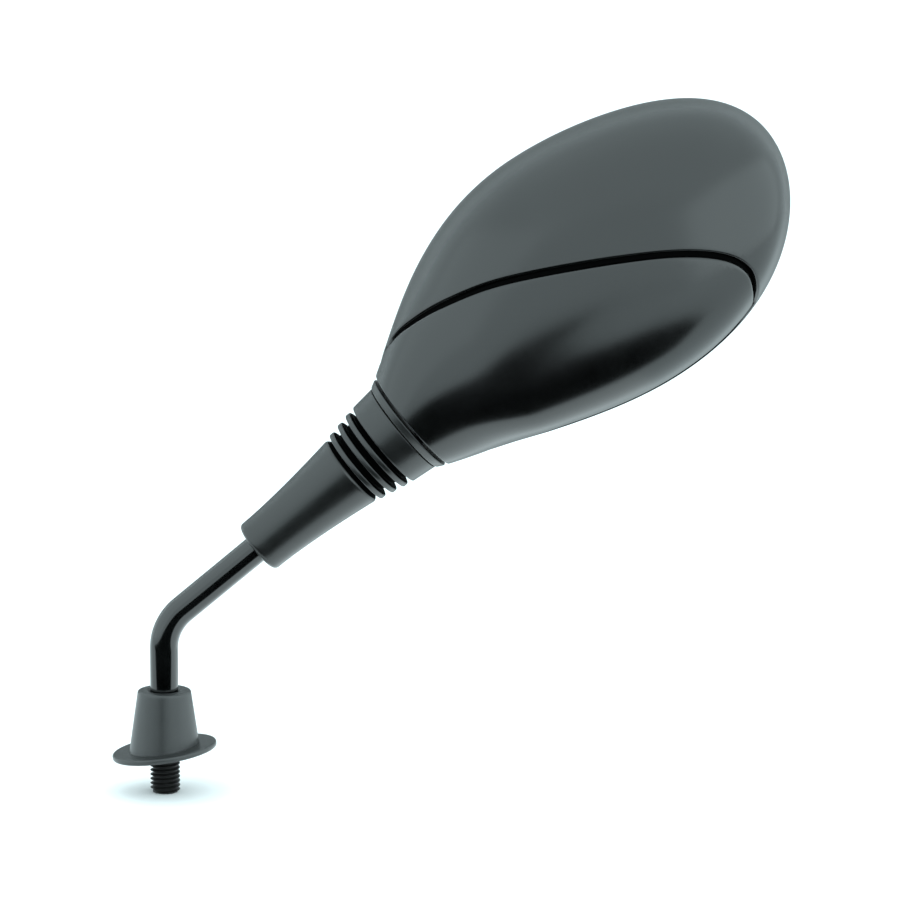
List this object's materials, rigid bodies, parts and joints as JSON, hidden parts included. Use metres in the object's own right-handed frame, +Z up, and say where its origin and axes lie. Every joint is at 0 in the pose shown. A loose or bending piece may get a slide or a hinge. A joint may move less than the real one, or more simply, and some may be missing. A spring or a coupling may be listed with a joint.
{
  "type": "motorcycle mirror",
  "caption": "Left-hand motorcycle mirror: egg-shaped moulded head with convex glass on a ball joint, rubber neck boot, bent steel stem and M10 stud",
  "frame": {"origin": "on the stud's axis, halfway along its free thread, 6.975 mm below the seat of the base boot's flange", "axes": "+Z up along the stud, +X outboard along the arm, +Y towards the rider, so the glass looks along +Y"},
  "size_m": [0.2252, 0.0459, 0.2314],
  "materials": {
    "head_plastic": "satin moulded black plastic with a fine grain",
    "stem_paint": "gloss black paint over bent steel rod",
    "boot_rubber": "satin black rubber",
    "ball_steel": "polished steel",
    "zinc_steel": "zinc plated",
    "liner_nylon": "natural nylon",
    "inner_plastic": "plain moulded black plastic",
    "pad_foam": "adhesive foam",
    "mirror_glass": "convex mirror glass"
  },
  "bodies": {
    "stem": {"stem": "stem_paint", "pivot_ball": "ball_steel", "neck_boot": "boot_rubber"},
    "liner_low": {"cup_lower": "liner_nylon"},
    "liner_high": {"cup_upper": "liner_nylon"},
    "head": {"socket_block": "inner_plastic", "clamp_plate": "zinc_steel", "clamp_springs": "zinc_steel", "clamp_washers": "zinc_steel", "clamp_screws": "zinc_steel", "block_screws": "zinc_steel", "neck_ring": "boot_rubber", "rear_shell": "head_plastic", "lower_cover": "head_plastic", "cover_screws": "zinc_steel", "backing_plate": "inner_plastic", "plate_screws": "zinc_steel", "glass_pad": "pad_foam", "glass": "mirror_glass"},
    "boot": {"base_boot": "boot_rubber"},
    "washer": {"lock_washer": "zinc_steel"},
    "nut": {"jam_nut": "zinc_steel"}
  },
  "joints": [
    {"name": "head_spin", "type": "hinge", "parent": "stem", "child": "liner_low", "pos_m": [0.07775, 0, 0.11535], "axis": [0.7683, 0, 0.6401], "range_deg": [-30, 30], "deforming": ["neck_boot"]},
    {"name": "head_tilt", "type": "hinge", "parent": "liner_low", "child": "liner_high", "pos_m": [0.07775, 0, 0.11535], "axis": [0, 1, 0], "range_deg": [-12, 12], "deforming": ["neck_boot"]},
    {"name": "head_turn", "type": "hinge", "parent": "liner_high", "child": "head", "pos_m": [0.07775, 0, 0.11535], "axis": [-0.6401, 0, 0.7683], "range_deg": [-12, 12], "deforming": ["neck_boot"]},
    {"name": "boot_lift", "type": "slide", "parent": "stem", "child": "boot", "axis": [0, 0, 1], "range_m": [0, 0.012]},
    {"name": "nut_advance", "type": "slide", "parent": "stem", "child": "washer", "axis": [0, 0, 1], "range_m": [0, 0.003]},
    {"name": "nut_turn", "type": "hinge", "parent": "washer", "child": "nut", "pos_m": [0, 0, 0.012], "axis": [0, 0, 1], "range_deg": [0, 720]}
  ],
  "couplings": [
    {"joint": "nut_turn", "follows": "nut_advance", "rad_per_m": 4188.8}
  ]
}
